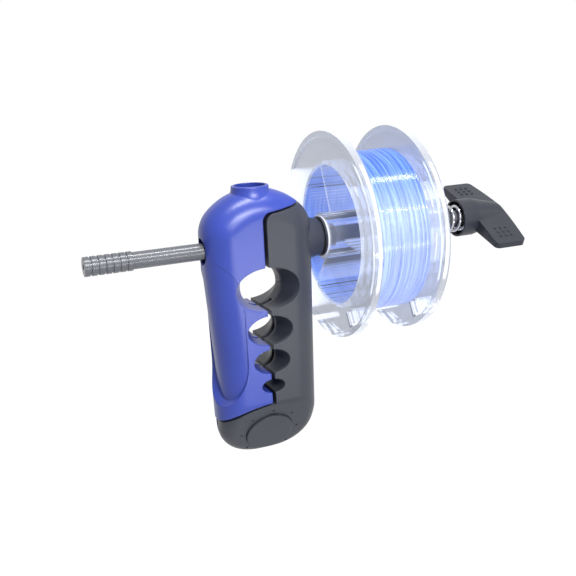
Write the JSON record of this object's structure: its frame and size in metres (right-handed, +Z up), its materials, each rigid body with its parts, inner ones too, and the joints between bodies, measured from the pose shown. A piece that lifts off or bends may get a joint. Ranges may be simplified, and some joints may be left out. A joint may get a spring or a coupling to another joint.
{
  "type": "fishing line winder",
  "caption": "Hand-held fishing line winder: two jaws clamp on a rod, and a spindle with a spring and a wing nut carries a spool of line.",
  "frame": {"origin": "centre of the third rod hole, which holds the rod in the picture", "axes": "+X along the spindle towards the wing nut, +Y along the rod holes away from the foot's round cap, +Z up to the dome"},
  "size_m": [0.1648, 0.076, 0.1179],
  "materials": {
    "blue_shell": "satin moulded plastic",
    "grey_shell": "satin moulded plastic",
    "dark_plastic": "fine matt",
    "dark_rod": "black coated steel",
    "nut_plastic": "satin moulded plastic",
    "ring_plastic": "smooth",
    "clear_plastic": "clear polished",
    "line": "glossy translucent monofilament",
    "steel": "zinc plated",
    "spring_steel": "bright",
    "brass": "turned"
  },
  "bodies": {
    "grip": {"body_shell": "blue_shell", "anchor_plate": "steel", "anchor_plate_screws": "steel", "pivot_screw": "steel", "pivot_nut": "steel"},
    "jaw": {"jaw_shell": "grey_shell", "pivot_cap": "grey_shell", "spool_bush": "dark_plastic", "drag_ring": "ring_plastic"},
    "spool": {"spool_flange_left": "clear_plastic", "spool_flange_right": "clear_plastic", "spool_drum": "clear_plastic", "spool_hub": "clear_plastic", "line_pack": "line", "line_outer_layer": "line", "centring_cone": "dark_plastic", "cone_washer": "steel"},
    "carriage": {"anchor_washer": "brass"},
    "spindle": {"spindle": "dark_rod", "handle_grip": "dark_plastic", "anchor_collar": "steel", "anchor_pin": "steel"},
    "thrust": {"spring_seat": "steel", "tension_spring": "spring_steel"},
    "nut": {"wing_nut": "nut_plastic", "nut_insert": "brass"}
  },
  "joints": [
    {"name": "jaw_pivot", "type": "hinge", "parent": "grip", "child": "jaw", "pos_m": [0, 0, -0.025], "axis": [0, 1, 0], "range_deg": [-0.8, 3]},
    {"name": "spool_spin", "type": "hinge", "parent": "jaw", "child": "spool", "pos_m": [0.04276, 0, 0.041], "axis": [1, 0, 0], "continuous": true},
    {"name": "spindle_slide", "type": "slide", "parent": "jaw", "child": "carriage", "axis": [1, 0, 0], "range_m": [-0.0036, 0.001]},
    {"name": "spindle_spin", "type": "hinge", "parent": "carriage", "child": "spindle", "pos_m": [0, 0, 0.041], "axis": [1, 0, 0], "continuous": true},
    {"name": "thrust_slide", "type": "slide", "parent": "spindle", "child": "thrust", "axis": [1, 0, 0], "range_m": [-0.0005, 0.002], "deforming": ["tension_spring"]},
    {"name": "nut_turn", "type": "hinge", "parent": "thrust", "child": "nut", "pos_m": [0.0895, 0, 0.041], "axis": [1, 0, 0], "range_deg": [-184, 724]}
  ],
  "couplings": [
    {"joint": "spindle_slide", "follows": "jaw_pivot", "m_per_rad": -0.066},
    {"joint": "nut_turn", "follows": "thrust_slide", "rad_per_m": 6283.2}
  ]
}
